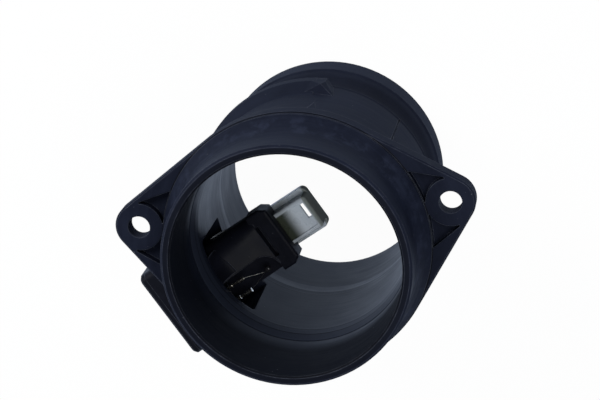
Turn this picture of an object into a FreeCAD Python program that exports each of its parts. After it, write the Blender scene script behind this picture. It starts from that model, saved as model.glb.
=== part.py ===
import FreeCAD, Part
import math
import os

# Mass airflow sensor: a straight moulded air tube with a two ear flange and a plug-in
# sensor module whose finger reaches to the middle of the bore.
# Frame: the tube axis is Z, the tube stands on its far rim at z = 0, and the near rim
# that points at the viewer is at the top. X runs through the two flange holes, +Y is
# the side to which the ears are offset. Millimetres throughout.

os.makedirs("parts", exist_ok=True)

# Tube: the bore sets every other radius
tube_length = 100.0
near_bore_r = 35.0
wall = 3.0
bore_step = 1.0
far_bore_relief = 0.6
tube_r = near_bore_r + wall
spigot_r = tube_r
mid_bore_r = near_bore_r - bore_step
far_bore_r = mid_bore_r + far_bore_relief
collar_r = spigot_r + 3.7
neck_depth = 0.9
far_collar_r = tube_r + 0.6
rim_chamfer = 0.7
curve_steps = 4
ring_line_height = 0.3
far_chamfer = 0.9

# Places along the tube
spigot_foot_z = tube_length - 11.5
collar_z = tube_length - 20.4
bore_step_top_z = tube_length - 28.0
bore_step_z = tube_length - 35.5
relief_top_z = 31.0
relief_bottom_z = 25.0
ring_line_z = 31.0
far_collar_top_z = 12.0

# Flange
flange_top_z = tube_length - 21.4
flange_thick = 5.2
flange_round_r = collar_r + 0.5
ear_x = flange_round_r + 6.55
ear_y = 9.5
ear_r = 7.6
hole_r = 3.5
boss_r = ear_r
pocket_depth = 2.8
pocket_inner_r = flange_round_r - 0.1
flange_edge = 0.5

# Raised ring segment on the tube
segment_r = tube_r + 2.8
segment_top_z = 43.0
segment_edge_z = 36.0
segment_bottom_z = 32.0
segment_start = 83.0
segment_end = 172.0

# Sensor port and module, in a local frame: u along the finger (outward is minus), v across
finger_angle = 28.4
port_z = 49.5
port_half_v = 14.1
port_half_z = 12.1
port_corner = 1.2
pad_u = tube_r + 3.0
pad_root_u = pad_u - 11.0
pad_half_v = port_half_v + 3.4
pad_half_z = port_half_z + 4.4
screw_v = pad_half_v + 3.3
screw_boss_r = 5.6
screw_pilot_r = 1.7
screw_hole_r = 2.25
screw_length = 12.0
screw_head_r = 3.9
screw_head_h = 3.0
fit_gap = 0.25
plate_thick = 3.4
head_half_v = 15.8
head_half_z = 15.2
head_depth = 9.0
head_wall = 1.8
head_floor = 1.4
cover_thick = 2.2
cover_lip = 1.6
finger_r = 10.8
finger_round = 9.2
finger_end_u = 17.7
finger_end_half_v = 10.1
finger_end_round = 4.6
finger_end_low_round = 7.4
plug_end_u = pad_u - 1.5
block_end_u = 11.4
block_half_v = 10.8
block_nose_half_v = 9.2
block_nose = 2.4
block_top_z = 51.0
block_bottom_z = 43.0
block_edge = 0.9
under_end_u = 14.8
under_half_v = 8.4
under_bottom_z = 36.6
bay_v = 1.9
bay_end = 0.3
bay_corner = 5.6
bay_floor_z = 46.5
slot_v = 0.45
slot_half_v = 5.85
slot_width = 1.5
slot_depth = 2.8

# Probe tip
tip_end_u = 0.6
tip_root_u = 17.2
tip_half_v = 5.95
tip_base_half_v = 7.7
tip_top_z = 47.0
tip_ledge_z = 41.0
tip_bottom_z = 38.0
tip_edge = 1.0
tip_dish = 0.35
tip_wall = 1.3
tip_back_thick = 1.2
window_half_v = 2.6
window_v = 1.4
window_u0 = 2.4
window_u1 = 0.85
strip_half_v = 2.4
strip_thick = 0.6
strip_z = 41.6
strip_free_u = 7.6

# Connector
shroud_half_v = 13.0
shroud_half_u = 6.2
shroud_wall = 1.7
shroud_bottom_z = 13.0
shroud_floor_z = 27.5
terminal_count = 5
terminal_pitch = 3.9
terminal_half = 0.4

# Board and its parts
heat_plate_thick = 1.0
board_thick = 1.0
chip_side = 8.0
chip_thick = 1.4
capacitor_length = 3.0
capacitor_width = 1.6
capacitor_thick = 1.0
capacitor_pitch = 4.0
resistor_length = 4.8
resistor_width = 3.0
resistor_thick = 1.1

# Air temperature thermistor
post_r = 0.42
post_head_r = 0.7
crimp_r = 0.68
crimp_length = 2.2
post_end_u = plug_end_u - 8.2
post_v = (-5.4, -10.2)
post_z = 51.0
lead_r = 0.17
bead_r = 1.05
bead_length = 2.2
bead_u = 22.9
bead_v = -7.4
bead_z = 50.2

V = FreeCAD.Vector
UP = V(0, 0, 1)
ORIGIN = V(0, 0, 0)


def save(shape, name):
    shape.exportStep("parts/" + name + ".step")


def place(shape):
    shape.rotate(ORIGIN, UP, finger_angle)
    return shape


def turned(points):
    """Solid of revolution about Z from a closed list of (radius, z) corners."""
    pts = [V(r, 0, z) for r, z in points]
    return Part.Face(Part.makePolygon(pts + [pts[0]])).revolve(ORIGIN, UP, 360)


def box(u0, u1, v0, v1, z0, z1):
    return Part.makeBox(u1 - u0, v1 - v0, z1 - z0, V(u0, v0, z0))


def polar(r, degrees, z):
    a = math.radians(degrees)
    return V(r * math.cos(a), r * math.sin(a), z)


def rounded_box(u0, u1, v0, v1, z0, z1, radius, axis):
    """Box whose four edges along one axis are rounded."""
    b = box(u0, u1, v0, v1, z0, z1)
    edges = []
    for e in b.Edges:
        d = e.tangentAt(e.FirstParameter)
        if abs(abs(d.dot(axis)) - 1) < 1e-6:
            edges.append(e)
    return b.makeFillet(radius, edges)


def prism(points, z0, z1):
    pts = [V(x, y, z0) for x, y in points]
    return Part.Face(Part.makePolygon(pts + [pts[0]])).extrude(V(0, 0, z1 - z0))


def hull_of_faces(vertices, faces):
    """Closed solid from corner points and lists of corner numbers."""
    made = []
    for f in faces:
        pts = [vertices[i] for i in f]
        made.append(Part.Face(Part.makePolygon(pts + [pts[0]])))
    solid = Part.Solid(Part.Shell(made))
    if solid.Volume < 0:
        solid.reverse()
    return solid


def upright_cylinder(x, y, r, z0, z1):
    return Part.makeCylinder(r, z1 - z0, V(x, y, z0), UP)


def across_cylinder(v, z, r, u0, u1):
    return Part.makeCylinder(r, u1 - u0, V(u0, v, z), V(1, 0, 0))


# Tube wall: outer outline from the near rim down to the far rim, then the bore
flange_bottom_z = flange_top_z - flange_thick
# The spigot flares into the collar, upright at first and then ever steeper
flare = []
for i in range(curve_steps + 1):
    share = i / curve_steps
    flare.append((
        spigot_r + (collar_r - spigot_r) * share ** 2,
        spigot_foot_z + (collar_z - spigot_foot_z) * share,
    ))
# The neck is a shallow cove between the ring line and the far collar
neck_top_r = tube_r - 0.2
neck_top_z = ring_line_z - 1.6
neck_low_r = far_collar_r - 0.6
neck_low_z = far_collar_top_z + 0.5
neck = []
for i in range(curve_steps + 1):
    share = i / curve_steps
    neck.append((
        neck_top_r + (neck_low_r - neck_top_r) * share - 4 * neck_depth * share * (1 - share),
        neck_top_z + (neck_low_z - neck_top_z) * share,
    ))
outer = [
    (near_bore_r - 4.0, tube_length),
    (spigot_r - rim_chamfer, tube_length),
    (spigot_r, tube_length - rim_chamfer),
] + flare + [
    (collar_r, flange_top_z - 1.0),
    (tube_r, flange_top_z - 1.0),
    (tube_r, ring_line_z + 1.0),
    (tube_r + ring_line_height, ring_line_z),
] + neck + [
    (far_collar_r, far_collar_top_z - 0.6),
    (far_collar_r, far_chamfer),
    (far_collar_r - far_chamfer, 0),
    (near_bore_r - 4.0, 0),
]
housing = turned(outer)

# Flange plate: two ear discs joined to the central disc by their common tangents
def tangent_outline(top_side):
    """Tangent points of an outer common tangent between the central disc and an ear."""
    d = math.hypot(ear_x, ear_y)
    base = math.atan2(ear_y, ear_x)
    spread = math.acos((flange_round_r - ear_r) / d)
    a = base + spread if top_side else base - spread
    n = V(math.cos(a), math.sin(a), 0)
    return n * flange_round_r, V(ear_x, ear_y, 0) + n * ear_r


top_c, top_e = tangent_outline(True)
low_c, low_e = tangent_outline(False)


def mirror_x(p):
    return V(-p.x, p.y, p.z)


edges = [
    Part.Arc(top_e, V(ear_x + ear_r * 0.965, ear_y + ear_r * 0.262, 0), low_e).toShape(),
    Part.makeLine(low_e, low_c),
    Part.Arc(low_c, V(0, -flange_round_r, 0), mirror_x(low_c)).toShape(),
    Part.makeLine(mirror_x(low_c), mirror_x(low_e)),
    Part.Arc(
        mirror_x(low_e),
        V(-ear_x - ear_r * 0.965, ear_y + ear_r * 0.262, 0),
        mirror_x(top_e),
    ).toShape(),
    Part.makeLine(mirror_x(top_e), mirror_x(top_c)),
    Part.Arc(mirror_x(top_c), V(0, flange_round_r, 0), top_c).toShape(),
    Part.makeLine(top_c, top_e),
]
flange = Part.Face(Part.Wire(edges)).extrude(V(0, 0, flange_thick))
flange.translate(V(0, 0, flange_bottom_z))
top_edges = [e for e in flange.Edges if abs(e.CenterOfMass.z - flange_top_z) < 0.01]
flange = flange.makeChamfer(flange_edge, top_edges)
for side in (-1, 1):
    boss = upright_cylinder(side * ear_x, ear_y, boss_r, flange_bottom_z, flange_top_z)
    core = upright_cylinder(0, 0, pocket_inner_r, flange_bottom_z, flange_top_z)
    pockets = (
        ((-11.9, 10.8), (-1.2, 8.0), (1.0, 1.6), (-9.6, 0.4)),
        ((-7.8, -3.6), (0.6, -1.4), (2.0, -7.9), (-7.6, -14.6)),
    )
    for corners in pockets:
        pts = [(side * (ear_x + dx), ear_y + dy) for dx, dy in corners]
        cut = prism(pts, flange_top_z - pocket_depth, flange_top_z + 1)
        cut = cut.cut(boss).cut(core)
        flange = flange.cut(cut)
housing = housing.fuse(flange)

# Raised ring segment with its sloping top, ending in a three sided gusset
seg = Part.Face(
    Part.makePolygon([
        V(tube_r - 1.5, 0, segment_bottom_z),
        V(segment_r, 0, segment_bottom_z),
        V(segment_r, 0, segment_edge_z),
        V(tube_r - 0.1, 0, segment_top_z),
        V(tube_r - 1.5, 0, segment_top_z),
        V(tube_r - 1.5, 0, segment_bottom_z),
    ])
).revolve(ORIGIN, UP, segment_end - segment_start)
seg.rotate(ORIGIN, UP, segment_start)
housing = housing.fuse(seg)
g = [
    polar(tube_r - 0.6, 92.4, segment_top_z),
    polar(tube_r - 0.6, 71.5, segment_top_z),
    polar(segment_r, 80.2, segment_edge_z + 3.2),
    polar(segment_r, 78.6, segment_edge_z),
    polar(segment_r, 85.0, segment_edge_z),
    polar(tube_r - 1.5, 92.4, segment_bottom_z),
    polar(tube_r - 1.5, 73.0, segment_bottom_z),
    polar(segment_r, 78.6, segment_bottom_z),
    polar(segment_r, 85.0, segment_bottom_z),
]
gusset = hull_of_faces(g, [
    (0, 1, 2),
    (0, 2, 4),
    (2, 3, 4),
    (1, 3, 2),
    (1, 6, 3),
    (6, 7, 3),
    (3, 7, 8),
    (3, 8, 4),
    (0, 4, 5),
    (4, 8, 5),
    (5, 8, 7),
    (5, 7, 6),
    (0, 5, 6),
    (0, 6, 1),
])
housing = housing.fuse(gusset)

# Gussets under the flange rim: small three sided ribs, narrow at the bottom
for a in (77.0, 150.0, 300.0):
    n = [
        polar(tube_r - 1.0, a + 3.2, flange_bottom_z + 0.5),
        polar(tube_r - 1.0, a - 3.2, flange_bottom_z + 0.5),
        polar(flange_round_r - 0.1, a - 2.2, flange_bottom_z + 0.5),
        polar(flange_round_r - 0.1, a + 2.2, flange_bottom_z + 0.5),
        polar(tube_r - 1.0, a, flange_bottom_z - 11.0),
        polar(flange_round_r + 0.3, a, flange_bottom_z - 6.9),
    ]
    rib = hull_of_faces(n, [
        (0, 1, 2),
        (0, 2, 3),
        (0, 4, 1),
        (1, 4, 5),
        (1, 5, 2),
        (2, 5, 3),
        (0, 3, 5),
        (0, 5, 4),
    ])
    housing = housing.fuse(rib)

# Sensor pad with two screw bosses on the outside of the tube wall
pad = rounded_box(
    -pad_u, -pad_root_u, -pad_half_v, pad_half_v, port_z - pad_half_z, port_z + pad_half_z, 3.0, V(1, 0, 0)
)
for side in (-1, 1):
    pad = pad.fuse(across_cylinder(side * screw_v, port_z, screw_boss_r, -pad_u, -pad_root_u + 2.0))
housing = housing.fuse(place(pad))

# The bore: a wider lead-in at the near end and a slight relief at the far end
bore = turned([
    (0, -1),
    (far_bore_r, -1),
    (far_bore_r, relief_bottom_z),
    (mid_bore_r, relief_top_z),
    (mid_bore_r, bore_step_z),
    (mid_bore_r + 0.25 * bore_step, bore_step_z + 3.1),
    (mid_bore_r + 0.85 * bore_step, bore_step_top_z - 0.4),
    (near_bore_r, bore_step_top_z),
    (near_bore_r, tube_length - 0.6),
    (near_bore_r + 0.6, tube_length),
    (near_bore_r + 0.6, tube_length + 1),
    (0, tube_length + 1),
])
housing = housing.cut(bore)
window = rounded_box(
    -pad_u - 1, -pad_root_u + 10.0, -port_half_v, port_half_v,
    port_z - port_half_z, port_z + port_half_z, port_corner, V(1, 0, 0),
)
seal_groove_outer = rounded_box(
    -pad_u - 1, -pad_u + 1.3, -port_half_v - 1.8, port_half_v + 1.8,
    port_z - port_half_z - 1.8, port_z + port_half_z + 1.8, port_corner + 1.8, V(1, 0, 0),
)
cuts = window.fuse(seal_groove_outer)
for side in (-1, 1):
    cuts = cuts.fuse(across_cylinder(side * screw_v, port_z, screw_pilot_r, -pad_u - 1, -pad_u + screw_length))
housing = housing.cut(place(cuts))
for side in (-1, 1):
    housing = housing.cut(
        upright_cylinder(side * ear_x, ear_y, hole_r, flange_bottom_z - 1, flange_top_z + 1)
    )
# Mould parting line down the side of the tube
line = box(tube_r - 0.35, tube_r + 0.2, -0.3, 0.3, ring_line_z - 1, 66.0)
line.rotate(ORIGIN, UP, 38.5)
housing = housing.cut(line)
save(housing, "tube_housing")

# Sensor module body
seat_u = pad_u
plate_outer_u = seat_u + plate_thick
body = rounded_box(
    -plate_outer_u, -seat_u, -pad_half_v, pad_half_v,
    port_z - pad_half_z, port_z + pad_half_z, 3.0, V(1, 0, 0),
)
for side in (-1, 1):
    body = body.fuse(across_cylinder(side * screw_v, port_z, screw_boss_r + 0.4, -plate_outer_u, -seat_u))
plug = rounded_box(
    -seat_u, -plug_end_u, -port_half_v + fit_gap, port_half_v - fit_gap,
    port_z - port_half_z + fit_gap, port_z + port_half_z - fit_gap, port_corner, V(1, 0, 0),
)
body = body.fuse(plug)


def finger_section(u, half_v, z0, z1, top_round, low_round):
    """Outline of the finger across its length, with round top corners and faceted low ones."""
    corners = (
        (half_v, z1, top_round, 0),
        (-half_v, z1, top_round, 90),
        (-half_v, z0, low_round, 180),
        (half_v, z0, low_round, 270),
    )
    runs = []
    for v, z, r, start in corners:
        cv = v - math.copysign(r, v)
        cz = z - r if z == z1 else z + r
        run = []
        for turn in (0, 30, 60, 90) if z == z0 else (0, 45, 90):
            a = math.radians(start + turn)
            run.append(V(u, cv + r * math.cos(a), cz + r * math.sin(a)))
        runs.append(run)
    wire = []
    for i, run in enumerate(runs):
        if len(run) == 3:
            wire.append(Part.Arc(*run).toShape())
        else:
            for p, q in zip(run, run[1:]):
                wire.append(Part.makeLine(p, q))
        wire.append(Part.makeLine(run[-1], runs[(i + 1) % 4][0]))
    return Part.Wire(wire)


def finger_loft(u0, u1, end_top):
    root = finger_section(u0, finger_r, port_z - finger_r, port_z + finger_r, finger_round, finger_round)
    end = finger_section(
        u1, finger_end_half_v, under_bottom_z + 0.4, end_top, finger_end_round, finger_end_low_round
    )
    return Part.makeLoft([root, end], True, True)


body = body.fuse(finger_loft(-seat_u, -finger_end_u, block_top_z + 0.7))
# Collar block at the end of the finger, narrower at its nose, over a smaller holder for the tip
body = body.fuse(box(
    -finger_end_u - 1.0, -under_end_u, -under_half_v, under_half_v, under_bottom_z, block_bottom_z + 1.0
))
block = prism([
    (-finger_end_u - 1.0, -block_half_v),
    (-block_end_u - block_nose, -block_half_v),
    (-block_end_u, -block_nose_half_v),
    (-block_end_u, block_nose_half_v),
    (-block_end_u - block_nose, block_half_v),
    (-finger_end_u - 1.0, block_half_v),
], block_bottom_z, block_top_z)
soft = []
for e in block.Edges:
    c = e.CenterOfMass
    level = abs(c.z - block_top_z) < 0.01 or abs(c.z - block_bottom_z) < 0.01
    if level and c.x > -finger_end_u - 0.9:
        soft.append(e)
body = body.fuse(block.makeFillet(block_edge, soft))
# Dark cross slot between the shoulder and the block
body = body.cut(box(
    -finger_end_u, -finger_end_u + slot_width, slot_v - slot_half_v, slot_v + slot_half_v,
    block_top_z - slot_depth, block_top_z + 12,
))
# Open side bay for the air temperature thermistor
bay = rounded_box(-plug_end_u, -finger_end_u - bay_end, -30.0, -bay_v, bay_floor_z, port_z + 30, bay_corner, UP)
body = body.cut(bay)
# Socket for the probe tip, a close fit round both widths of its shell
body = body.cut(box(
    -tip_root_u, -block_end_u + 1, -tip_half_v - 0.05, tip_half_v + 0.05, tip_bottom_z - 0.05, tip_top_z + 0.05
))
body = body.cut(box(
    -tip_root_u, -block_end_u + 1, -tip_base_half_v - 0.05, tip_base_half_v + 0.05,
    tip_bottom_z - 0.05, tip_ledge_z + 0.05,
))
# Electronics box behind the plate, open to the outside
head_u0 = plate_outer_u + head_depth
head = rounded_box(
    -head_u0, -plate_outer_u + 0.5, -head_half_v, head_half_v,
    port_z - head_half_z, port_z + head_half_z, 2.6, V(1, 0, 0),
)
body = body.fuse(head)
# Connector shroud below the box, its outer wall in line with the outside of the cover
shroud_u = head_u0 + cover_thick - shroud_half_u
shroud = rounded_box(
    -shroud_u - shroud_half_u, -shroud_u + shroud_half_u, -shroud_half_v, shroud_half_v,
    shroud_bottom_z, port_z - head_half_z, 3.2, UP,
)
body = body.fuse(shroud)
cavity = rounded_box(
    -head_u0 - 1, -plate_outer_u - head_floor + 0.6, -head_half_v + head_wall, head_half_v - head_wall,
    port_z - head_half_z + head_wall, port_z + head_half_z - head_wall, 1.4, V(1, 0, 0),
)
body = body.cut(cavity)
body = body.cut(rounded_box(
    -shroud_u - shroud_half_u + shroud_wall, -shroud_u + shroud_half_u - shroud_wall,
    -shroud_half_v + shroud_wall, shroud_half_v - shroud_wall,
    shroud_bottom_z - 1, shroud_floor_z, 1.8, UP,
))
# Keying ribs inside the shroud mouth and a latch nose outside
for v in (-6.5, 6.5):
    body = body.fuse(box(
        -shroud_u + shroud_half_u - shroud_wall - 1.0, -shroud_u + shroud_half_u - shroud_wall + 0.3,
        v - 0.7, v + 0.7, shroud_bottom_z + 3, shroud_floor_z + 0.5,
    ))
nose = Part.Face(Part.makePolygon([
    V(-shroud_u - shroud_half_u + 0.5, -4.5, shroud_bottom_z + 4.0),
    V(-shroud_u - shroud_half_u - 0.1, -4.5, shroud_bottom_z + 4.0),
    V(-shroud_u - shroud_half_u - 1.8, -4.5, shroud_bottom_z + 8.0),
    V(-shroud_u - shroud_half_u + 0.5, -4.5, shroud_bottom_z + 8.0),
    V(-shroud_u - shroud_half_u + 0.5, -4.5, shroud_bottom_z + 4.0),
])).extrude(V(0, 9, 0))
body = body.fuse(nose)
# Screw clearance holes in the plate ears
for side in (-1, 1):
    body = body.cut(across_cylinder(side * screw_v, port_z, screw_hole_r, -plate_outer_u - 1, -seat_u + 1))
# Bent pin terminals, tight through the wall between the connector and the box
terminal_v = [(i - (terminal_count - 1) / 2) * terminal_pitch for i in range(terminal_count)]
inner_wall_z = port_z - head_half_z + head_wall
for v in terminal_v:
    body = body.cut(box(
        -shroud_u - terminal_half, -shroud_u + terminal_half, v - terminal_half, v + terminal_half,
        shroud_floor_z - 1, inner_wall_z + 1,
    ))
# Thermistor post sockets in the plug face
for v in post_v:
    body = body.cut(across_cylinder(v, post_z, post_r, -plug_end_u - 1.0, -plug_end_u + 1))
save(place(body.removeSplitter()), "sensor_body")

# Port seal: a rounded rectangular ring pressed in the pad groove
seal = rounded_box(
    -pad_u, -pad_u + 1.3, -port_half_v - 1.75, port_half_v + 1.75,
    port_z - port_half_z - 1.75, port_z + port_half_z + 1.75, port_corner + 1.75, V(1, 0, 0),
).cut(rounded_box(
    -pad_u - 1, -pad_u + 2, -port_half_v + 0.05, port_half_v - 0.05,
    port_z - port_half_z + 0.05, port_z + port_half_z - 0.05, port_corner, V(1, 0, 0),
))
save(place(seal), "port_seal")

# Cover on the electronics box, with a lip that drops inside the walls
cover = rounded_box(
    -head_u0 - cover_thick, -head_u0, -head_half_v, head_half_v,
    port_z - head_half_z, port_z + head_half_z, 2.6, V(1, 0, 0),
)
rim = [e for e in cover.Edges if abs(e.CenterOfMass.x + head_u0 + cover_thick) < 0.01]
cover = cover.makeChamfer(0.8, rim)
lip = rounded_box(
    -head_u0 - 0.5, -head_u0 + cover_lip, -head_half_v + head_wall + fit_gap, head_half_v - head_wall - fit_gap,
    port_z - head_half_z + head_wall + fit_gap, port_z + head_half_z - head_wall - fit_gap, 1.3, V(1, 0, 0),
)
lip = lip.cut(rounded_box(
    -head_u0, -head_u0 + cover_lip + 1, -head_half_v + head_wall + 1.4, head_half_v - head_wall - 1.4,
    port_z - head_half_z + head_wall + 1.4, port_z + head_half_z - head_wall - 1.4, 1.0, V(1, 0, 0),
))
cover = cover.fuse(lip)
save(place(cover.removeSplitter()), "electronics_cover")

# Electronics: metal base plate, board and its parts stacked from the box floor
floor_u = -plate_outer_u - head_floor + 0.6
inner_v = head_half_v - head_wall - 0.6
base_z0 = port_z - head_half_z + head_wall + 4.0
base_z1 = port_z + head_half_z - head_wall - 0.6
board_u = floor_u - heat_plate_thick
save(place(box(board_u, floor_u, -inner_v, inner_v, base_z0, base_z1)), "heat_plate")
top_u = board_u - board_thick
board_half_v = inner_v - 0.6
save(place(box(top_u, board_u, -board_half_v, board_half_v, base_z0 + 0.4, base_z1 - 0.4)), "circuit_board")
chip_z = port_z + 0.5
save(place(box(top_u - chip_thick, top_u, -chip_side / 2, chip_side / 2, chip_z, chip_z + chip_side)), "control_chip")
caps = []
cap_v = chip_side / 2 + 1.5 * capacitor_length
for v in (-cap_v, cap_v):
    for i in range(3):
        z = port_z + i * capacitor_pitch
        caps.append(box(
            top_u - capacitor_thick, top_u, v - capacitor_length / 2, v + capacitor_length / 2,
            z - capacitor_width / 2, z + capacitor_width / 2,
        ))
save(place(Part.makeCompound(caps)), "chip_capacitors")
blocks = []
for v in (-resistor_length, resistor_length):
    blocks.append(box(
        top_u - resistor_thick, top_u, v - resistor_length / 2, v + resistor_length / 2,
        port_z - 2 * resistor_width, port_z - resistor_width,
    ))
save(place(Part.makeCompound(blocks)), "resistor_blocks")

# Terminals: straight square pins from the connector mouth up into the box, then a foot
# that lies on the board edge
pins = []
for v in terminal_v:
    pin = box(
        -shroud_u - terminal_half, -shroud_u + terminal_half, v - terminal_half, v + terminal_half,
        shroud_bottom_z + 5.0, base_z0 + 1.8,
    )
    foot = box(
        -shroud_u - terminal_half, top_u, v - terminal_half, v + terminal_half,
        base_z0 + 1.0, base_z0 + 1.8,
    )
    pins.append(pin.fuse(foot).removeSplitter())
save(place(Part.makeCompound(pins)), "connector_terminals")

# Mounting screws: pan heads with a cross recess, shanks through the plate into the bosses
screws = []
for side in (-1, 1):
    c_v = side * screw_v
    shank = across_cylinder(c_v, port_z, screw_pilot_r, -plate_outer_u, -seat_u + screw_length - 1.0)
    head_disc = across_cylinder(c_v, port_z, screw_head_r, -plate_outer_u - screw_head_h, -plate_outer_u)
    outer_rim = [e for e in head_disc.Edges if abs(e.CenterOfMass.x + plate_outer_u + screw_head_h) < 0.01]
    head_disc = head_disc.makeChamfer(0.9, outer_rim)
    screw = shank.fuse(head_disc)
    for turn in (45, 135):
        bar = box(
            -plate_outer_u - screw_head_h - 1, -plate_outer_u - screw_head_h + 1.5,
            -2.3, 2.3, -0.45, 0.45,
        )
        bar.rotate(ORIGIN, V(1, 0, 0), turn)
        bar.translate(V(0, c_v, port_z))
        screw = screw.cut(bar)
    screws.append(screw.removeSplitter())
save(place(Part.makeCompound(screws)), "mounting_screws")

# Probe tip shell: a narrow upper part on a wider base, with the air window near its end
shell = box(-tip_root_u, tip_end_u, -tip_half_v, tip_half_v, tip_ledge_z - 0.5, tip_top_z)
free_edges = []
for e in shell.Edges:
    c = e.CenterOfMass
    upright = abs(c.z - 0.5 * (tip_ledge_z - 0.5 + tip_top_z)) < 0.01 and c.x > 0
    along_top = abs(c.z - tip_top_z) < 0.01 and c.x > -tip_root_u + 0.1
    if upright or along_top:
        free_edges.append(e)
shell = shell.makeFillet(tip_edge, free_edges)
base = box(-tip_root_u, tip_end_u, -tip_base_half_v, tip_base_half_v, tip_bottom_z, tip_ledge_z)
base_ends = [e for e in base.Edges if abs(e.CenterOfMass.x - tip_end_u) < 0.01 and e.Vertexes[0].Y == e.Vertexes[1].Y]
shell = shell.fuse(base.makeFillet(2.0, base_ends))
dish = rounded_box(
    -block_end_u - 1.0, tip_end_u - 1.4 * tip_edge, -tip_half_v + 1.4 * tip_edge, tip_half_v - 1.4 * tip_edge,
    tip_top_z - tip_dish, tip_top_z + 1, 0.8, UP,
)
shell = shell.cut(dish)
air_window = rounded_box(
    -window_u0, -window_u1, window_v - window_half_v, window_v + window_half_v,
    tip_bottom_z - 1, tip_top_z + 1, 0.25, UP,
)
shell = shell.cut(air_window)
channel_end_u = tip_end_u - tip_wall
channel = rounded_box(
    -tip_root_u + 2.2, channel_end_u, -tip_half_v + tip_wall, tip_half_v - tip_wall,
    tip_bottom_z - 1, tip_top_z - tip_dish - tip_wall, 0.8, UP,
)
shell = shell.cut(channel)


def back_plate(low_z):
    """Closing plate that fills the step in the base of the shell."""
    return rounded_box(
        -block_end_u, channel_end_u + 0.5, -tip_base_half_v + tip_wall, tip_base_half_v - tip_wall,
        low_z, tip_bottom_z + tip_back_thick, 0.6, UP,
    )


shell = shell.cut(back_plate(tip_bottom_z - 1))
# Slit in the root wall that holds the sensing strip
shell = shell.cut(box(
    -tip_root_u - 1, -tip_root_u + 3, -strip_half_v, strip_half_v, strip_z, strip_z + strip_thick
))
save(place(shell.removeSplitter()), "probe_shell")

# Rear closing plate of the tip with the air outlet
outlet = rounded_box(
    -strip_free_u, channel_end_u, -tip_half_v + tip_wall, tip_half_v - tip_wall,
    tip_bottom_z - 1, tip_bottom_z + 3, 0.8, UP,
)
save(place(back_plate(tip_bottom_z).cut(outlet)), "probe_back")

# Sensing strip with the hot film element on its free end
strip = box(-tip_root_u, -strip_free_u, -strip_half_v, strip_half_v, strip_z, strip_z + strip_thick)
save(place(strip), "element_carrier")
film_half_v = 0.7 * strip_half_v
film_end_u = strip_free_u + 0.6
film = box(-film_end_u - strip_half_v, -film_end_u, -film_half_v, film_half_v, strip_z + strip_thick, strip_z + 1.6 * strip_thick)
save(place(film), "hot_film_element")


def rod(p, q, r):
    """Round rod between two points."""
    d = q - p
    return Part.makeCylinder(r, d.Length, p, d)


# Thermistor: two posts in the plug face with crimped ends, thin leads, and the bead between them
posts = []
for v in post_v:
    post = across_cylinder(v, post_z, post_r, -plug_end_u - 1.0, -post_end_u - 0.4)
    post = post.fuse(across_cylinder(v, post_z, post_head_r, -plug_end_u + 2.7, -plug_end_u + 3.5))
    post = post.fuse(across_cylinder(v, post_z, crimp_r, -post_end_u - crimp_length, -post_end_u))
    posts.append(post.removeSplitter())
save(place(Part.makeCompound(posts)), "thermistor_posts")
bead_at = V(-bead_u, bead_v, bead_z)
bead_way = V(1, 0.25, 0)
bead_way.normalize()
bead_ends = [bead_at - bead_way * (0.5 * bead_length), bead_at + bead_way * (0.5 * bead_length)]
profile = [(0, -1.0), (0.55, -0.84), (0.9, -0.42), (1.0, 0.0)]
half = [V(bead_r * r, 0, bead_r * z) for r, z in profile]
other = [V(p.x, 0, bead_length - p.z) for p in reversed(half)]
bead = Part.Face(Part.makePolygon(half + other + [half[0]])).revolve(ORIGIN, UP, 360)
bead.Placement = FreeCAD.Placement(bead_ends[0], FreeCAD.Rotation(UP, bead_way))
leads = []
for v in post_v:
    lead = rod(V(-post_end_u, v, post_z), bead_ends[0], lead_r)
    leads.append(lead.cut(bead))
save(place(Part.makeCompound(leads)), "thermistor_leads")
save(place(bead), "thermistor_bead")
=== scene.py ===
import math

import bpy
import numpy as np
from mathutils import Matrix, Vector


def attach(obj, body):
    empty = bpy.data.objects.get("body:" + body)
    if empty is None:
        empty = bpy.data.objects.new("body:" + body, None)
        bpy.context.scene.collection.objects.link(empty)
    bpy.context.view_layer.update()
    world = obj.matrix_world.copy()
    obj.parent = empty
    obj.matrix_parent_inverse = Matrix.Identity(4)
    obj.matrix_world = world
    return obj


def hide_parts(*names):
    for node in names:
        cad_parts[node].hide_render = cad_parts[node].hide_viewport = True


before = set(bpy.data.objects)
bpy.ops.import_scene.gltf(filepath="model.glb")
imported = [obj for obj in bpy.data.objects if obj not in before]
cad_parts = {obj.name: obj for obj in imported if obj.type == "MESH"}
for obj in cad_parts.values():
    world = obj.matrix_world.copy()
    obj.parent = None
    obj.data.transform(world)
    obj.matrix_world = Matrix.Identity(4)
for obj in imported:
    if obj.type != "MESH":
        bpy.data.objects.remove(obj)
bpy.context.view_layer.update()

MM = 0.001
UP = np.array((0.0, 0.0, 1.0))

# The camera stands above the near end of the tube, leaning to the +X, +Y side: place, lens and sensor
# width in mm, turn in degrees
camera_place = (109.14, 173.89, 592.36)
camera_turn = (-18.369, 9.199, -7.85)
camera_lens = 108.0
camera_sensor = 36.0

# Turn of the sensor finger from +X in degrees. Along it, in mm: where its pale tip goes from the painted
# shade at its root to light and where its end wall, also painted darker, starts. Across it: half the width
# of the tip's panel
finger_turn = 28.4
tip_dark_u = -9.8
tip_light_u = -4.6
tip_end_u = -0.75
tip_panel_half_v = 4.5

# Heights in the bore, in mm: its step, painted lighter, and the fine lines that the mould's rings leave,
# each drawn as a band of painted shade with a painted highlight on the crest beside it
bore_step_z = (63.8, 72.6)
bore_line_z = (31.2, 34.0, 64.6, 67.8, 72.0)

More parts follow.
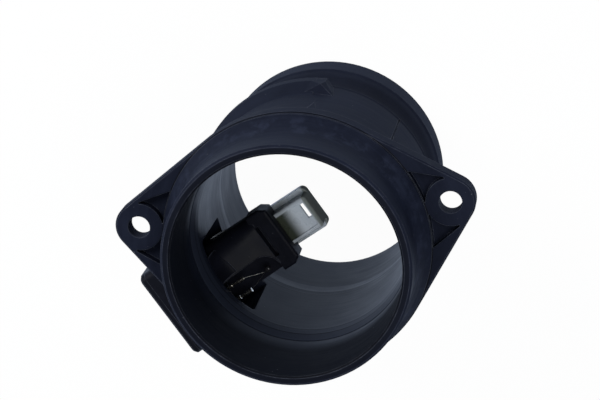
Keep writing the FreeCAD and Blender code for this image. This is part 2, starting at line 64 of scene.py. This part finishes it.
# Where one zone of the housing goes over into the next, in mm: radii (r) and heights (z)
bore_r = (35.2, 35.6)
outside_r = (35.8, 36.2)
under_flange_z = (77.6, 78.4)
neck_z = (12.0, 33.0)
flare_z = (79.5, 88.5)
flare_r = (37.0, 37.6)
# Radius and heights of the crease at the collar, which carries a thin line of painted shade
crease_shade_r = (41.75, 42.15)
crease_shade_z = (78.2, 79.3)
mouth_z = (73.5, 80.0)
land_z = (99.0, 99.4)
land_r = (36.9, 37.3)
# Heights of the far collar, which is made lighter with painted light
collar_light_z = (-3.0, 11.6)

# How strongly each zone or mark shows in the housing's colour. The wide mouth of the bore and the neck are
# darker with painted shade, the flat land of the near rim is darker, and the far collar is lighter and
# hazier with painted light
ring_haze = 0.28
flare_haze = 0.75
neck_painted_shade = 0.2
step_painted_light = 0.55
groove_painted_shade = 0.7
crest_painted_highlight = 0.45
mouth_painted_shade = 0.62
land_dark = 0.6
collar_painted_light = 0.35
edge_wear_and_highlight = 0.75

# What each zone adds to the housing's roughness: the bore shines more than its mouth and the outside
bore_rough = -0.18
mouth_rough = 0.08
under_flange_rough = 0.13
neck_rough = 0.38

# Thermistor in the finger's own frame, in mm: along the finger (u), across it (v), and height (z)
bead_middle = (-22.9, -7.4, 50.2)
bead_way = (0.970, 0.243, 0.0)
bead_length = 2.3
bead_radius = 1.0
glaze_power = 2.4
glaze_slim = 0.1
post_end_u = -31.4
post_height = 51.0
post_across = (-5.4, -10.2)
lead_radius = 0.125
lead_in_post = 0.5
lead_out_pull = 1.4
lead_in_pull = 1.2
lead_reach_share = 0.42
lead_sag = 0.08
lead_fade = 0.06
# How much of each wire is bare from its post; the dark rest is varnish near the bead on the first wire and
# painted shade on the second
lead_bare_share = (0.80, 0.12)

# Fillet between the finger's rounded, sloping top and the wall of the bore, and the line that the mould
# leaves on the finger's side, painted pale as a highlight along the finger's edge, in mm
bore_wall_r = 34.0
fillet_across = (-1.3, 8.4)
fillet_top_z = 62.7
fillet_length = 4.6
fillet_sunk = 0.04
fillet_back = 0.12
fillet_into_wall = 0.7
fillet_depth = 1.0
fillet_fade = 1.4
finger_top_slope = 0.369
finger_top_u = -32.0
finger_round_v = 3.1
finger_round_z = 49.6
finger_round_r = 7.4
line_start = (-33.6, 10.9, 47.9)
line_stop = (-26.6, 10.75, 48.3)
line_radius = 0.28
line_bow = 0.1
line_blunt = 0.02
# Along the finger, in mm: where the side line's painted glint sits, and where its painted highlight fades
# out
line_glint_u = (-33.3, -32.8, -32.2, -31.2)
line_highlight_fade_u = (-31.0, -26.8)

# Colours are linear red, green, blue
housing_colour = (0.0064, 0.0082, 0.0165)
housing_haze = (0.0180, 0.0222, 0.0400)
# The deep colour is painted shade in the neck, the bore's mouth, its fine lines and the crease at the
# collar; on the land of the near rim it only makes it darker
housing_deep = (0.0025, 0.0028, 0.0040)
# The bore's colour is a lighter copy of the housing's plastic: painted light
bore_painted_light_colour = (0.0115, 0.0145, 0.0240)
# The colour of the bore's step and of the crests beside its fine lines: painted light
bore_mark_painted_light = (0.031, 0.038, 0.058)
body_colour = (0.0047, 0.0052, 0.0084)
body_haze = (0.0088, 0.0100, 0.0172)
dust_colour = (0.16, 0.17, 0.19)
# The edge colour is partly wear and partly painted highlight along the edges
edge_wear_and_highlight_colour = (0.105, 0.115, 0.145)
tip_colour = (0.66, 0.73, 0.80)
tip_cloud = (0.74, 0.79, 0.84)
# The varnish colour is varnish near the bead, and painted shade along most of the second wire
varnish_and_shade_colour = (0.010, 0.010, 0.012)
# The side line's colours are a painted highlight along the finger's edge, the brightest one also its painted
# glint
line_highlight_colour = (0.10, 0.11, 0.125)
line_bright_highlight = (0.42, 0.45, 0.48)
# The tip's root colour is a painted reflection of the dark block with painted shade; its end colour is
# painted shade on the end wall
tip_root_painted_shade = (0.034, 0.040, 0.026)
tip_end_painted_shade = (0.230, 0.255, 0.235)
rubber_colour = (0.012, 0.012, 0.012)
tin_colour = (0.74, 0.72, 0.66)
steel_colour = (0.58, 0.59, 0.60)
aluminium_colour = (0.72, 0.73, 0.75)
board_colour = (0.015, 0.085, 0.035)
ceramic_colour = (0.78, 0.77, 0.73)
floor_colour = (0.93, 0.93, 0.93)
floor_glow = 0.97
floor_mirrored = (0.66, 0.78, 1.0)
sky_colour = (0.80, 0.88, 1.0)
sky_power = 0.36

# Soft round lamps: place and aim in mm, width in metres, power in watts
lamps = {
    "key": ((-420, 520, 560), (0, 0, 60), 0.5, 4.9),
    "window": ((263, 10, 700), (0, 0, 60), 0.42, 1.9),
    "fill": ((500, 200, 350), (0, 0, 50), 0.8, 0.08),
}


def scaled(colour, share):
    """A colour made darker or lighter by a share, and never more than full."""
    return tuple(min(1.0, share * c) for c in colour)


class Paint:
    """A material and its node tree, with short calls to add and join nodes."""

    def __init__(self, name):
        self.material = bpy.data.materials.new(name)
        self.material.use_nodes = True
        self.tree = self.material.node_tree
        self.shader = self.tree.nodes["Principled BSDF"]
        self.place = self.tree.nodes.new("ShaderNodeTexCoord").outputs["Object"]

    def node(self, kind, **values):
        made = self.tree.nodes.new(kind)
        for key, value in values.items():
            if key in made.inputs:
                made.inputs[key].default_value = value
            else:
                setattr(made, key, value)
        return made

    def join(self, out, into):
        self.tree.links.new(out, into)

    def noise(self, size_mm, detail=3.0, rough=0.55):
        """Cloudy pattern whose blotches are about size_mm across."""
        made = self.node("ShaderNodeTexNoise", Scale=1.0 / (size_mm * MM), Detail=detail, Roughness=rough)
        self.join(self.place, made.inputs["Vector"])
        return made.outputs["Fac"]

    def radius(self):
        """Distance from the tube axis."""
        flat = self.node("ShaderNodeVectorMath", operation="MULTIPLY")
        flat.inputs[1].default_value = (1.0, 1.0, 0.0)
        self.join(self.place, flat.inputs[0])
        length = self.node("ShaderNodeVectorMath", operation="LENGTH")
        self.join(flat.outputs["Vector"], length.inputs[0])
        return length.outputs["Value"]

    def toward(self, turn_degrees):
        """Distance from the tube axis along a level direction, which is given by its turn from +X."""
        turn = math.radians(turn_degrees)
        made = self.node("ShaderNodeVectorMath", operation="DOT_PRODUCT")
        made.inputs[1].default_value = (math.cos(turn), math.sin(turn), 0.0)
        self.join(self.place, made.inputs[0])
        return made.outputs["Value"]

    def height(self):
        parts = self.node("ShaderNodeSeparateXYZ")
        self.join(self.place, parts.inputs[0])
        return parts.outputs["Z"]

    def rounds(self, across_mm, drift, detail=3.0):
        """Streaks that run round the tube: a cloud read at (radius, height, a little of x)."""
        parts = self.node("ShaderNodeSeparateXYZ")
        self.join(self.place, parts.inputs[0])
        spot = self.node("ShaderNodeCombineXYZ")
        self.join(self.times(self.radius(), 0.5), spot.inputs[0])
        self.join(parts.outputs["Z"], spot.inputs[1])
        self.join(self.times(parts.outputs["X"], drift), spot.inputs[2])
        made = self.node("ShaderNodeTexNoise", Scale=1.0 / (across_mm * MM), Detail=detail, Roughness=0.6)
        self.join(spot.outputs[0], made.inputs["Vector"])
        return made.outputs["Fac"]

    def over(self, value, low_mm, high_mm, to_low=0.0, to_high=1.0, ramp="LINEAR"):
        """Goes from one number to the other while a distance grows from low to high."""
        return self.remap(value, low_mm * MM, high_mm * MM, to_low, to_high, ramp)

    def band(self, value, low_mm, high_mm, soft_mm):
        """1 between two distances, 0 outside them, with soft ends."""
        rise = self.over(value, low_mm, low_mm + soft_mm)
        fall = self.over(value, high_mm - soft_mm, high_mm, 1.0, 0.0)
        return self.times(rise, fall)

    def specks(self, spacing_mm, size_mm):
        """Scattered small dots: 1 inside a dot, 0 elsewhere, one dot in a cell of the spacing."""
        cells = self.node("ShaderNodeTexVoronoi", Scale=1.0 / (spacing_mm * MM), Randomness=1.0)
        self.join(self.place, cells.inputs["Vector"])
        share = size_mm / spacing_mm
        return self.remap(cells.outputs["Distance"], 0.6 * share, share, 1.0, 0.0)

    def combine(self, operation, one, two):
        made = self.node("ShaderNodeMath", operation=operation)
        for socket, value in ((made.inputs[0], one), (made.inputs[1], two)):
            if isinstance(value, float):
                socket.default_value = value
            else:
                self.join(value, socket)
        return made.outputs[0]

    def times(self, one, two):
        return self.combine("MULTIPLY", one, two)

    def plus(self, one, two):
        return self.combine("ADD", one, two)

    def remap(self, value, low, high, to_low, to_high, ramp="LINEAR"):
        made = self.node("ShaderNodeMapRange", interpolation_type=ramp)
        for key, number in (("From Min", low), ("From Max", high), ("To Min", to_low), ("To Max", to_high)):
            made.inputs[key].default_value = number
        self.join(value, made.inputs["Value"])
        return made.outputs["Result"]

    def blend(self, factor, one, two):
        made = self.node("ShaderNodeMix", data_type="RGBA")
        self.join(factor, made.inputs[0])
        for socket, colour in ((made.inputs[6], one), (made.inputs[7], two)):
            if isinstance(colour, tuple):
                socket.default_value = (*colour, 1.0)
            else:
                self.join(colour, socket)
        return made.outputs[2]

    def bump(self, height, depth_mm, strength=1.0, under=None):
        made = self.node("ShaderNodeBump", Strength=strength, Distance=depth_mm * MM)
        self.join(height, made.inputs["Height"])
        if under is not None:
            self.join(under, made.inputs["Normal"])
        return made.outputs["Normal"]

    def rubbed_and_highlit_edges(self, radius_mm, patchy):
        """1 along sharp edges, where the rounded normal leaves the flat one, broken up by a cloud."""
        made = self.node("ShaderNodeBevel", Radius=radius_mm * MM)
        made.samples = 6
        flat = self.node("ShaderNodeNewGeometry").outputs["True Normal"]
        same = self.node("ShaderNodeVectorMath", operation="DOT_PRODUCT")
        self.join(made.outputs["Normal"], same.inputs[0])
        self.join(flat, same.inputs[1])
        edge = self.remap(same.outputs["Value"], 0.92, 0.992, 1.0, 0.0)
        return self.times(edge, self.remap(patchy, 0.35, 0.65, 0.25, 1.0))

    def rounded_edges(self, radius_mm):
        made = self.node("ShaderNodeBevel", Radius=radius_mm * MM)
        made.samples = 6
        return made.outputs["Normal"]

    def into(self, socket, out):
        self.join(out, self.shader.inputs[socket])


def housing_plastic():
    """Glass-filled moulding: faint rings from the mould, mottled haze, dust and soft edges. Painted shade
    darkens the neck, the bore's mouth, its fine lines and the crease at the collar, painted light brightens
    the bore, its step, the crests of its lines and the far collar, and the edges are paler from wear and
    painted highlight.
    """
    paint = Paint("housing_plastic")
    out = paint.radius()
    high = paint.height()
    cloud = paint.noise(16.0, 5.0, 0.62)
    rings = paint.rounds(1.3, 0.06)
    patches = paint.noise(4.5, 4.0, 0.7)
    bore = paint.over(out, *bore_r, 1.0, 0.0)
    outer = paint.over(out, *outside_r)
    neck = paint.times(paint.band(high, *neck_z, 5.0), outer)

    base = paint.blend(paint.remap(cloud, 0.36, 0.70, 0.0, 0.42), housing_colour, housing_haze)
    base = paint.blend(paint.remap(rings, 0.45, 0.75, 0.0, ring_haze), base, housing_haze)
    flare = paint.times(paint.band(high, *flare_z, 2.0), paint.over(out, *flare_r))
    mottled = paint.remap(patches, 0.47, 0.62, 0.0, flare_haze)
    base = paint.blend(paint.times(flare, mottled), base, housing_haze)
    # The neck is darkened toward the deep colour: painted shade
    base = paint.blend(paint.times(neck, neck_painted_shade), base, housing_deep)
    # The far collar is made lighter toward the haze colour: painted light
    collar_light = paint.times(paint.band(high, *collar_light_z, 1.5), outer)
    base = paint.blend(paint.times(collar_light, collar_painted_light), base, housing_haze)

    # The bore takes a lighter copy of the housing's colour: painted light
    inner = paint.blend(paint.remap(cloud, 0.3, 0.7, 0.0, 0.5), bore_painted_light_colour, housing_haze)
    inner = paint.blend(paint.remap(rings, 0.40, 0.62, 0.35, 0.0), inner, housing_colour)
    # The bore's step is made lighter: painted light
    step = paint.band(high, *bore_step_z, 1.2)
    inner = paint.blend(paint.times(step, step_painted_light), inner, bore_mark_painted_light)
    # Each fine line is a band of painted shade, with a painted highlight on the crest beside it
    for line_z in bore_line_z:
        groove = paint.band(high, line_z - 0.3, line_z + 0.3, 0.15)
        inner = paint.blend(paint.times(groove, groove_painted_shade), inner, housing_deep)
        crest = paint.band(high, line_z - 1.0, line_z - 0.35, 0.2)
        inner = paint.blend(paint.times(crest, crest_painted_highlight), inner, bore_mark_painted_light)
    # The bore's mouth is darkened toward the deep colour: painted shade
    inner = paint.blend(paint.over(high, *mouth_z, 0.0, mouth_painted_shade), inner, housing_deep)

    base = paint.blend(bore, base, inner)
    land = paint.times(paint.over(high, *land_z, 0.0, land_dark), paint.over(out, *land_r, 1.0, 0.0))
    base = paint.blend(land, base, housing_deep)
    # A thin dark line in the crease where the collar meets the flange: painted shade
    crease_shade = paint.times(paint.band(out, *crease_shade_r, 0.1), paint.band(high, *crease_shade_z, 0.2))
    base = paint.blend(crease_shade, base, housing_deep)
    # Edges made paler: partly wear, partly painted highlight
    base = paint.blend(paint.times(paint.rubbed_and_highlit_edges(0.35, patches), edge_wear_and_highlight), base, edge_wear_and_highlight_colour)
    dust = paint.times(paint.specks(3.4, 0.16), paint.remap(cloud, 0.42, 0.6, 0.0, 0.8))
    paint.into("Base Color", paint.blend(dust, base, dust_colour))
    paint.shader.inputs["Specular IOR Level"].default_value = 0.05

    worn = paint.plus(paint.remap(cloud, 0.3, 0.7, 0.50, 0.60), paint.remap(rings, 0.4, 0.7, -0.04, 0.05))
    inside = paint.times(bore, paint.over(high, *mouth_z, bore_rough, mouth_rough))
    below = paint.times(paint.over(high, *under_flange_z, 1.0, 0.0), outer)
    duller = paint.combine("MAXIMUM", paint.times(below, under_flange_rough), paint.times(neck, neck_rough))
    paint.into("Roughness", paint.plus(paint.plus(worn, inside), duller))
    ringed = paint.bump(rings, 0.012, 1.0, paint.rounded_edges(0.7))
    paint.into("Normal", paint.bump(paint.noise(0.4, 2.0, 0.5), 0.012, 1.0, ringed))
    return paint.material


def sensor_plastic():
    """Smooth dark moulding with a soft sheen and a little dust, and edges paler from wear and painted
    highlight.
    """
    paint = Paint("sensor_plastic")
    paint.shader.inputs["Specular IOR Level"].default_value = 0.07
    cloud = paint.noise(9.0, 4.0, 0.6)
    base = paint.blend(paint.remap(cloud, 0.35, 0.7, 0.0, 0.7), body_colour, body_haze)
    # Edges made paler: partly wear, partly painted highlight
    base = paint.blend(paint.times(paint.rubbed_and_highlit_edges(0.3, paint.noise(3.0)), 0.6), base, edge_wear_and_highlight_colour)
    dust = paint.times(paint.specks(2.6, 0.13), paint.remap(cloud, 0.4, 0.6, 0.0, 0.7))
    paint.into("Base Color", paint.blend(dust, base, dust_colour))
    paint.into("Roughness", paint.remap(cloud, 0.3, 0.7, 0.38, 0.52))
    edges = paint.bump(cloud, 0.3, 1.0, paint.rounded_edges(0.6))
    paint.into("Normal", paint.bump(paint.noise(0.6, 2.0, 0.5), 0.008, 1.0, edges))
    return paint.material


def plain_metal(name, colour, gloss, scratch_mm=0.5):
    paint = Paint(name)
    marks = paint.noise(scratch_mm, 3.0, 0.6)
    paint.shader.inputs["Metallic"].default_value = 1.0
    rubbed = paint.remap(marks, 0.4, 0.7, 0.0, 1.0)
    paint.into("Base Color", paint.blend(rubbed, colour, scaled(colour, 0.8)))
    paint.into("Roughness", paint.remap(marks, 0.3, 0.7, gloss - 0.06, gloss + 0.08))
    return paint.material


def tinned_lead():
    """Bright drawn wire from its post on, then dark: varnish near the bead, and painted shade along most of
    the second wire. The mesh's own attribute says where.
    """
    paint = Paint("tinned_lead")
    marks = paint.noise(0.25, 3.0, 0.6)
    bare = paint.node("ShaderNodeAttribute", attribute_name="bare").outputs["Fac"]
    metal = paint.blend(marks, tin_colour, scaled(tin_colour, 0.7))
    paint.into("Base Color", paint.blend(bare, varnish_and_shade_colour, metal))
    paint.into("Metallic", bare)
    paint.into("Roughness", paint.remap(marks, 0.3, 0.7, 0.22, 0.38))
    return paint.material


def side_line_highlight_plastic():
    """The body's plastic on the mould's parting line, painted pale as the highlight along the finger's edge,
    brightest in a painted glint near its outer end.
    """
    paint = Paint("side_line_highlight_plastic")
    paint.shader.inputs["Specular IOR Level"].default_value = 0.4
    along = paint.toward(finger_turn)
    # A painted glint near the outer end, and a painted highlight that fades along the line
    spot = paint.times(paint.over(along, *line_glint_u[:2]), paint.over(along, *line_glint_u[2:], 1.0, 0.0))
    faded = paint.over(along, *line_highlight_fade_u)
    base = paint.blend(faded, line_highlight_colour, body_haze)
    broken_highlight = paint.times(paint.noise(0.5), paint.remap(faded, 0.0, 1.0, 0.5, 0.0))
    base = paint.blend(broken_highlight, base, line_bright_highlight)
    paint.into("Base Color", paint.blend(spot, base, line_bright_highlight))
    paint.into("Roughness", paint.remap(paint.noise(0.5), 0.3, 0.7, 0.3, 0.5))
    return paint.material


def tip_plastic():
    """Smooth pale plastic whose panel darkens toward its root with a painted reflection of the dark block
    and painted shade, and whose end wall is darkened with painted shade.
    """
    paint = Paint("tip_plastic")
    paint.shader.inputs["Specular IOR Level"].default_value = 0.16
    paint.shader.inputs["Transmission Weight"].default_value = 0.1
    along = paint.toward(finger_turn)
    side = paint.node("ShaderNodeMath", operation="ABSOLUTE")
    paint.join(paint.toward(finger_turn + 90.0), side.inputs[0])
    root = paint.over(along, tip_dark_u, tip_light_u, 1.0, 0.0, "SMOOTHSTEP")
    panel = paint.over(side.outputs[0], tip_panel_half_v, tip_panel_half_v + 0.4, 1.0, 0.45)
    cloud = paint.noise(5.0, 3.0, 0.5)
    pale = paint.blend(paint.remap(cloud, 0.35, 0.7, 0.0, 0.6), tip_colour, tip_cloud)
    # Toward the root the pale plastic is darkened: painted reflection of the dark block and painted shade
    root_painted_shade = paint.blend(paint.times(root, panel), pale, tip_root_painted_shade)
    # The end wall and its rounded edge are darkened: painted shade
    end = paint.over(along, tip_end_u, tip_end_u + 0.5, 0.0, 0.9)
    paint.into("Base Color", paint.blend(end, root_painted_shade, tip_end_painted_shade))
    paint.into("Roughness", paint.plus(paint.remap(cloud, 0.3, 0.7, 0.22, 0.32), paint.times(end, 0.5)))
    paint.into("Normal", paint.rounded_edges(0.35))
    return paint.material


def soft_rubber():
    paint = Paint("soft_rubber")
    cloud = paint.noise(1.2)
    paint.into("Base Color", paint.blend(cloud, rubber_colour, scaled(rubber_colour, 2.0)))
    paint.into("Roughness", paint.remap(cloud, 0.3, 0.7, 0.55, 0.7))
    return paint.material


def board_laminate():
    paint = Paint("board_laminate")
    weave = paint.noise(0.8)
    paint.into("Base Color", paint.blend(weave, board_colour, scaled(board_colour, 0.6)))
    paint.into("Roughness", paint.remap(weave, 0.3, 0.7, 0.35, 0.5))
    return paint.material


def glazed(name, colour, gloss):
    paint = Paint(name)
    cloud = paint.noise(0.9)
    paint.into("Base Color", paint.blend(cloud, colour, scaled(colour, 1.5)))
    paint.into("Roughness", paint.remap(cloud, 0.3, 0.7, gloss, gloss + 0.06))
    return paint.material


finishes = {
    "tube_housing": housing_plastic(),
    "sensor_body": sensor_plastic(),
    "port_seal": soft_rubber(),
    "mounting_screws": plain_metal("screw_steel", steel_colour, 0.32),
    "probe_shell": tip_plastic(),
    "circuit_board": board_laminate(),
    "heat_plate": plain_metal("rolled_aluminium", aluminium_colour, 0.35),
    "connector_terminals": plain_metal("tin_plate", tin_colour, 0.3),
    "thermistor_posts": plain_metal("lead_tin", tin_colour, 0.25, 0.3),
    "thermistor_bead": glazed("glazed_bead", (0.012, 0.012, 0.014), 0.08),
    "element_carrier": glazed("alumina", ceramic_colour, 0.4),
    "hot_film_element": glazed("film", (0.05, 0.06, 0.09), 0.15),
    "control_chip": glazed("chip_resin", (0.02, 0.02, 0.02), 0.45),
    "chip_capacitors": glazed("capacitor_ceramic", (0.45, 0.33, 0.2), 0.4),
}
finishes["probe_back"] = finishes["probe_shell"]
finishes["electronics_cover"] = finishes["sensor_body"]
finishes["thermistor_leads"] = finishes["thermistor_posts"]
finishes["resistor_blocks"] = finishes["control_chip"]
for node, material in finishes.items():
    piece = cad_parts[node]
    piece.data.materials.clear()
    piece.data.materials.append(material)


def finger_place(spots):
    """Points given along the finger, across it and in height, in mm, turned into the row frame in metres."""
    spots = np.asarray(spots, float)
    turn = math.radians(finger_turn)
    x = spots[..., 0] * math.cos(turn) - spots[..., 1] * math.sin(turn)
    y = spots[..., 0] * math.sin(turn) + spots[..., 1] * math.cos(turn)
    return np.stack([x, y, spots[..., 2]], axis=-1) * MM


def mesh_piece(name, points, faces, material, slot_name, *replaced):
    """A smooth-shaded piece of the sensor from its points in metres, riding on the root."""
    mesh = bpy.data.meshes.new(name)
    mesh.from_pydata(points.tolist(), [], faces)
    mesh.polygons.foreach_set("use_smooth", np.ones(len(mesh.polygons), bool))
    mesh.materials.append(material)
    piece = bpy.data.objects.new(name, mesh)
    bpy.context.scene.collection.objects.link(piece)
    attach(piece, "root")
    if replaced:
        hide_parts(*replaced)
    return piece


def ring_faces(rings, spokes, first=0):
    """Four-sided faces between rings of equal spokes, each ring joined to the next and closed on itself."""
    ring, spoke = np.meshgrid(np.arange(rings - 1), np.arange(spokes), indexing="ij")
    after = (spoke + 1) % spokes
    near, far = ring * spokes, (ring + 1) * spokes
    corners = (near + spoke, near + after, far + after, far + spoke)
    return (np.stack(corners, axis=-1).reshape(-1, 4) + first).tolist()


def rod_faces(rings, spokes, first=0):
    """The same with a flat face at either end."""
    last = first + (rings - 1) * spokes
    ends = [list(range(first, first + spokes))[::-1], list(range(last, last + spokes))]
    return ring_faces(rings, spokes, first) + ends


def thermistor_bead_drop():
    """Glazed drop. Its radius is R (1 - |s|^p)^(1/p), with s from -1 to 1 along it and p the glaze power.
    The lead end is a tenth slimmer, as the glaze runs on to the wires there."""
    rings, spokes = 25, 32
    way = np.array(bead_way) / np.linalg.norm(bead_way)
    flat = np.cross(UP, way)
    s = -np.cos(np.linspace(0.0, math.pi, rings + 2))[1:-1]
    radius = bead_radius * (1.0 - np.abs(s) ** glaze_power) ** (1.0 / glaze_power) * (1.0 + glaze_slim * s)
    turn = np.linspace(0.0, 2.0 * math.pi, spokes, endpoint=False)
    spread = np.cos(turn)[None, :, None] * flat + np.sin(turn)[None, :, None] * UP
    axis = np.array(bead_middle) + 0.5 * bead_length * s[:, None, None] * way
    body = axis + radius[:, None, None] * spread
    poles = np.array(bead_middle) + 0.5 * bead_length * np.array((-1.0, 1.0))[:, None] * way
    points = finger_place(np.concatenate([body.reshape(-1, 3), poles]))
    count = rings * spokes
    around = np.arange(spokes)
    after = (around + 1) % spokes
    low = np.stack([np.full(spokes, count), after, around], axis=-1).tolist()
    last = count - spokes
    high = np.stack([np.full(spokes, count + 1), last + around, last + after], axis=-1).tolist()
    faces = ring_faces(rings, spokes) + low + high
    glaze = finishes["thermistor_bead"]
    mesh_piece("thermistor_drop", points, faces, glaze, "bead_glass", "thermistor_bead")


def thermistor_wires():
    """Two thin wires. Each follows a cubic from its post to the bead that leaves both ends straight
    along the finger, and sags by a little of a sine in between. A ring of spokes rides along the path."""
    rings, spokes = 40, 12
    way = np.array(bead_way) / np.linalg.norm(bead_way)
    goal = np.array(bead_middle) - lead_reach_share * bead_length * way
    t = np.linspace(0.0, 1.0, rings)[:, None]
    turn = np.linspace(0.0, 2.0 * math.pi, spokes, endpoint=False)
    points, faces, bare = [], [], []
    for across, share in zip(post_across, lead_bare_share):
        start = np.array((post_end_u - lead_in_post, across, post_height))
        leave = np.array((lead_out_pull, 0.0, 0.0))
        path = (
            (1 - t) ** 3 * start
            + 3 * (1 - t) ** 2 * t * (start + leave)
            + 3 * (1 - t) * t ** 2 * (goal - lead_in_pull * way)
            + t ** 3 * goal
        )
        path = path - lead_sag * UP * np.sin(math.pi * t)
        along = np.gradient(path, axis=0)
        along = along / np.linalg.norm(along, axis=1, keepdims=True)
        flat = np.cross(UP, along)
        flat = flat / np.linalg.norm(flat, axis=1, keepdims=True)
        rise = np.cross(along, flat)
        spread = np.cos(turn)[None, :, None] * flat[:, None] + np.sin(turn)[None, :, None] * rise[:, None]
        first = sum(len(p) for p in points)
        points.append((path[:, None] + lead_radius * spread).reshape(-1, 3))
        faces += rod_faces(rings, spokes, first)
        bare.append(np.repeat(np.clip((share - t[:, 0]) / lead_fade + 0.5, 0.0, 1.0), spokes))
    points = finger_place(np.concatenate(points))
    piece = mesh_piece("thermistor_wires", points, faces, tinned_lead(), "lead_metal", "thermistor_leads")
    cover = piece.data.attributes.new("bare", "FLOAT", "POINT")
    cover.data.foreach_set("value", np.concatenate(bare).astype(np.float32))


def finger_root_fillet():
    """Cove from the sloping top of the finger up to the bore wall above the port. Across the finger its foot
    follows the finger's outline, flat and then an arc of the finger's radius. From each foot a quarter
    ellipse rises by reach (1 - cos q) to one level and runs along the finger by length (1 - sin q) from the
    wall, which is at the root of (wall radius^2 - v^2). The length falls off with the square of the distance
    across, and the whole cove is sunk a little into the finger and into the wall."""
    q = np.linspace(0.0, 0.5 * math.pi, 16)
    v = np.linspace(*fillet_across, 40)[:, None]
    foot = finger_round_z + np.sqrt(finger_round_r ** 2 - np.clip(v - finger_round_v, 0.0, None) ** 2)
    share = (v - fillet_across[0]) / (fillet_across[1] + fillet_fade - fillet_across[0])
    length = fillet_length * (1.0 - share ** 2)
    wall = -np.sqrt(bore_wall_r ** 2 - v ** 2)
    u_run = wall + length * (1.0 - np.sin(q)) - fillet_back
    foot_run = foot - finger_top_slope * (u_run - finger_top_u) - fillet_sunk
    z_run = foot_run + (fillet_top_z - foot_run) * (1.0 - np.cos(q))
    u = np.concatenate([u_run, wall - fillet_into_wall], axis=1)
    z = np.concatenate([z_run, foot - fillet_depth], axis=1)
    points = finger_place(np.stack([u, v + 0.0 * u, z], axis=-1)).reshape(-1, 3)
    faces = [face[::-1] for face in rod_faces(v.size, q.size + 1)]
    mesh_piece("finger_root_fillet", points, faces, finishes["sensor_body"], "body_black")


def finger_side_line():
    """Parting line of the mould on the finger's side, its pale colour a painted highlight along the finger's
    edge: a low round bead whose radius is r times the root of sin(pi t), carried along a straight run that
    bows outward a little in its middle, by bow sin(pi t)."""
    rings, spokes = 30, 14
    t = np.linspace(0.0, 1.0, rings)[:, None]
    bow = line_bow * np.sin(math.pi * t) * np.array((0.0, 1.0, 0.0))
    path = (1 - t) * np.array(line_start) + t * np.array(line_stop) + bow
    radius = line_radius * np.sqrt(np.clip(np.sin(math.pi * t), line_blunt, 1.0))
    turn = np.linspace(0.0, 2.0 * math.pi, spokes, endpoint=False)
    across = np.stack([0.0 * turn, np.cos(turn), np.sin(turn)], axis=-1)
    points = finger_place(path[:, None] + radius[:, None] * across).reshape(-1, 3)
    mesh_piece("finger_side_line", points, rod_faces(rings, spokes), side_line_highlight_plastic(), "body_black")


thermistor_bead_drop()
thermistor_wires()
finger_root_fillet()
finger_side_line()


def floor_sheet():
    """A wide flat floor at z = 0, seen white but taking a soft shadow, and cool white in reflections."""
    half = 3.0
    below = Vector((0, 0, 0.0002))
    mesh = bpy.data.meshes.new("floor")
    corners = [(-half, -half, 0), (half, -half, 0), (half, half, 0), (-half, half, 0)]
    mesh.from_pydata([Vector(c) - below for c in corners], [], [(0, 1, 2, 3)])
    floor = bpy.data.objects.new("floor", mesh)
    bpy.context.scene.collection.objects.link(floor)
    material = bpy.data.materials.new("floor_white")
    material.use_nodes = True
    tree = material.node_tree
    shader = tree.nodes["Principled BSDF"]
    shader.inputs["Base Color"].default_value = (*floor_colour, 1.0)
    shader.inputs["Roughness"].default_value = 0.9
    glow = tree.nodes.new("ShaderNodeEmission")
    glow.inputs["Strength"].default_value = 1.0
    seen = tree.nodes.new("ShaderNodeLightPath")
    tint = tree.nodes.new("ShaderNodeMix")
    tint.data_type = "RGBA"
    tint.inputs[6].default_value = (1.0, 1.0, 1.0, 1.0)
    tint.inputs[7].default_value = (*floor_mirrored, 1.0)
    tree.links.new(seen.outputs["Is Glossy Ray"], tint.inputs[0])
    tree.links.new(tint.outputs[2], glow.inputs["Color"])
    either = seen.outputs["Is Camera Ray"]
    for ray in ("Is Glossy Ray", "Is Transmission Ray"):
        both = tree.nodes.new("ShaderNodeMath")
        both.operation = "MAXIMUM"
        tree.links.new(either, both.inputs[0])
        tree.links.new(seen.outputs[ray], both.inputs[1])
        either = both.outputs[0]
    share = tree.nodes.new("ShaderNodeMath")
    share.operation = "MULTIPLY"
    share.inputs[1].default_value = floor_glow
    tree.links.new(either, share.inputs[0])
    mix = tree.nodes.new("ShaderNodeMixShader")
    tree.links.new(share.outputs[0], mix.inputs[0])
    tree.links.new(shader.outputs[0], mix.inputs[1])
    tree.links.new(glow.outputs[0], mix.inputs[2])
    tree.links.new(mix.outputs[0], tree.nodes["Material Output"].inputs["Surface"])
    mesh.materials.append(material)


def soft_lamp(name, place_mm, aim_mm, size, power):
    lamp = bpy.data.lights.new(name, "AREA")
    lamp.shape = "DISK"
    lamp.size = size
    lamp.energy = power
    holder = bpy.data.objects.new(name, lamp)
    holder.location = Vector(place_mm) * MM
    holder.rotation_euler = (Vector(place_mm) - Vector(aim_mm)).to_track_quat("Z", "Y").to_euler()
    bpy.context.scene.collection.objects.link(holder)


def studio():
    world = bpy.data.worlds.new("studio")
    bpy.context.scene.world = world
    world.use_nodes = True
    sky = world.node_tree.nodes["Background"]
    sky.inputs["Color"].default_value = (*sky_colour, 1.0)
    sky.inputs["Strength"].default_value = sky_power
    for name, facts in lamps.items():
        soft_lamp(name, *facts)


def photo_camera():
    lens = bpy.data.cameras.new("photo_camera")
    lens.sensor_width = camera_sensor
    lens.lens = camera_lens
    lens.clip_start = 0.01
    camera = bpy.data.objects.new("photo_camera", lens)
    camera.location = Vector(camera_place) * MM
    camera.rotation_euler = [math.radians(a) for a in camera_turn]
    bpy.context.scene.collection.objects.link(camera)
    bpy.context.scene.camera = camera


floor_sheet()
studio()
photo_camera()
scene = bpy.context.scene
scene.view_settings.view_transform = "Standard"
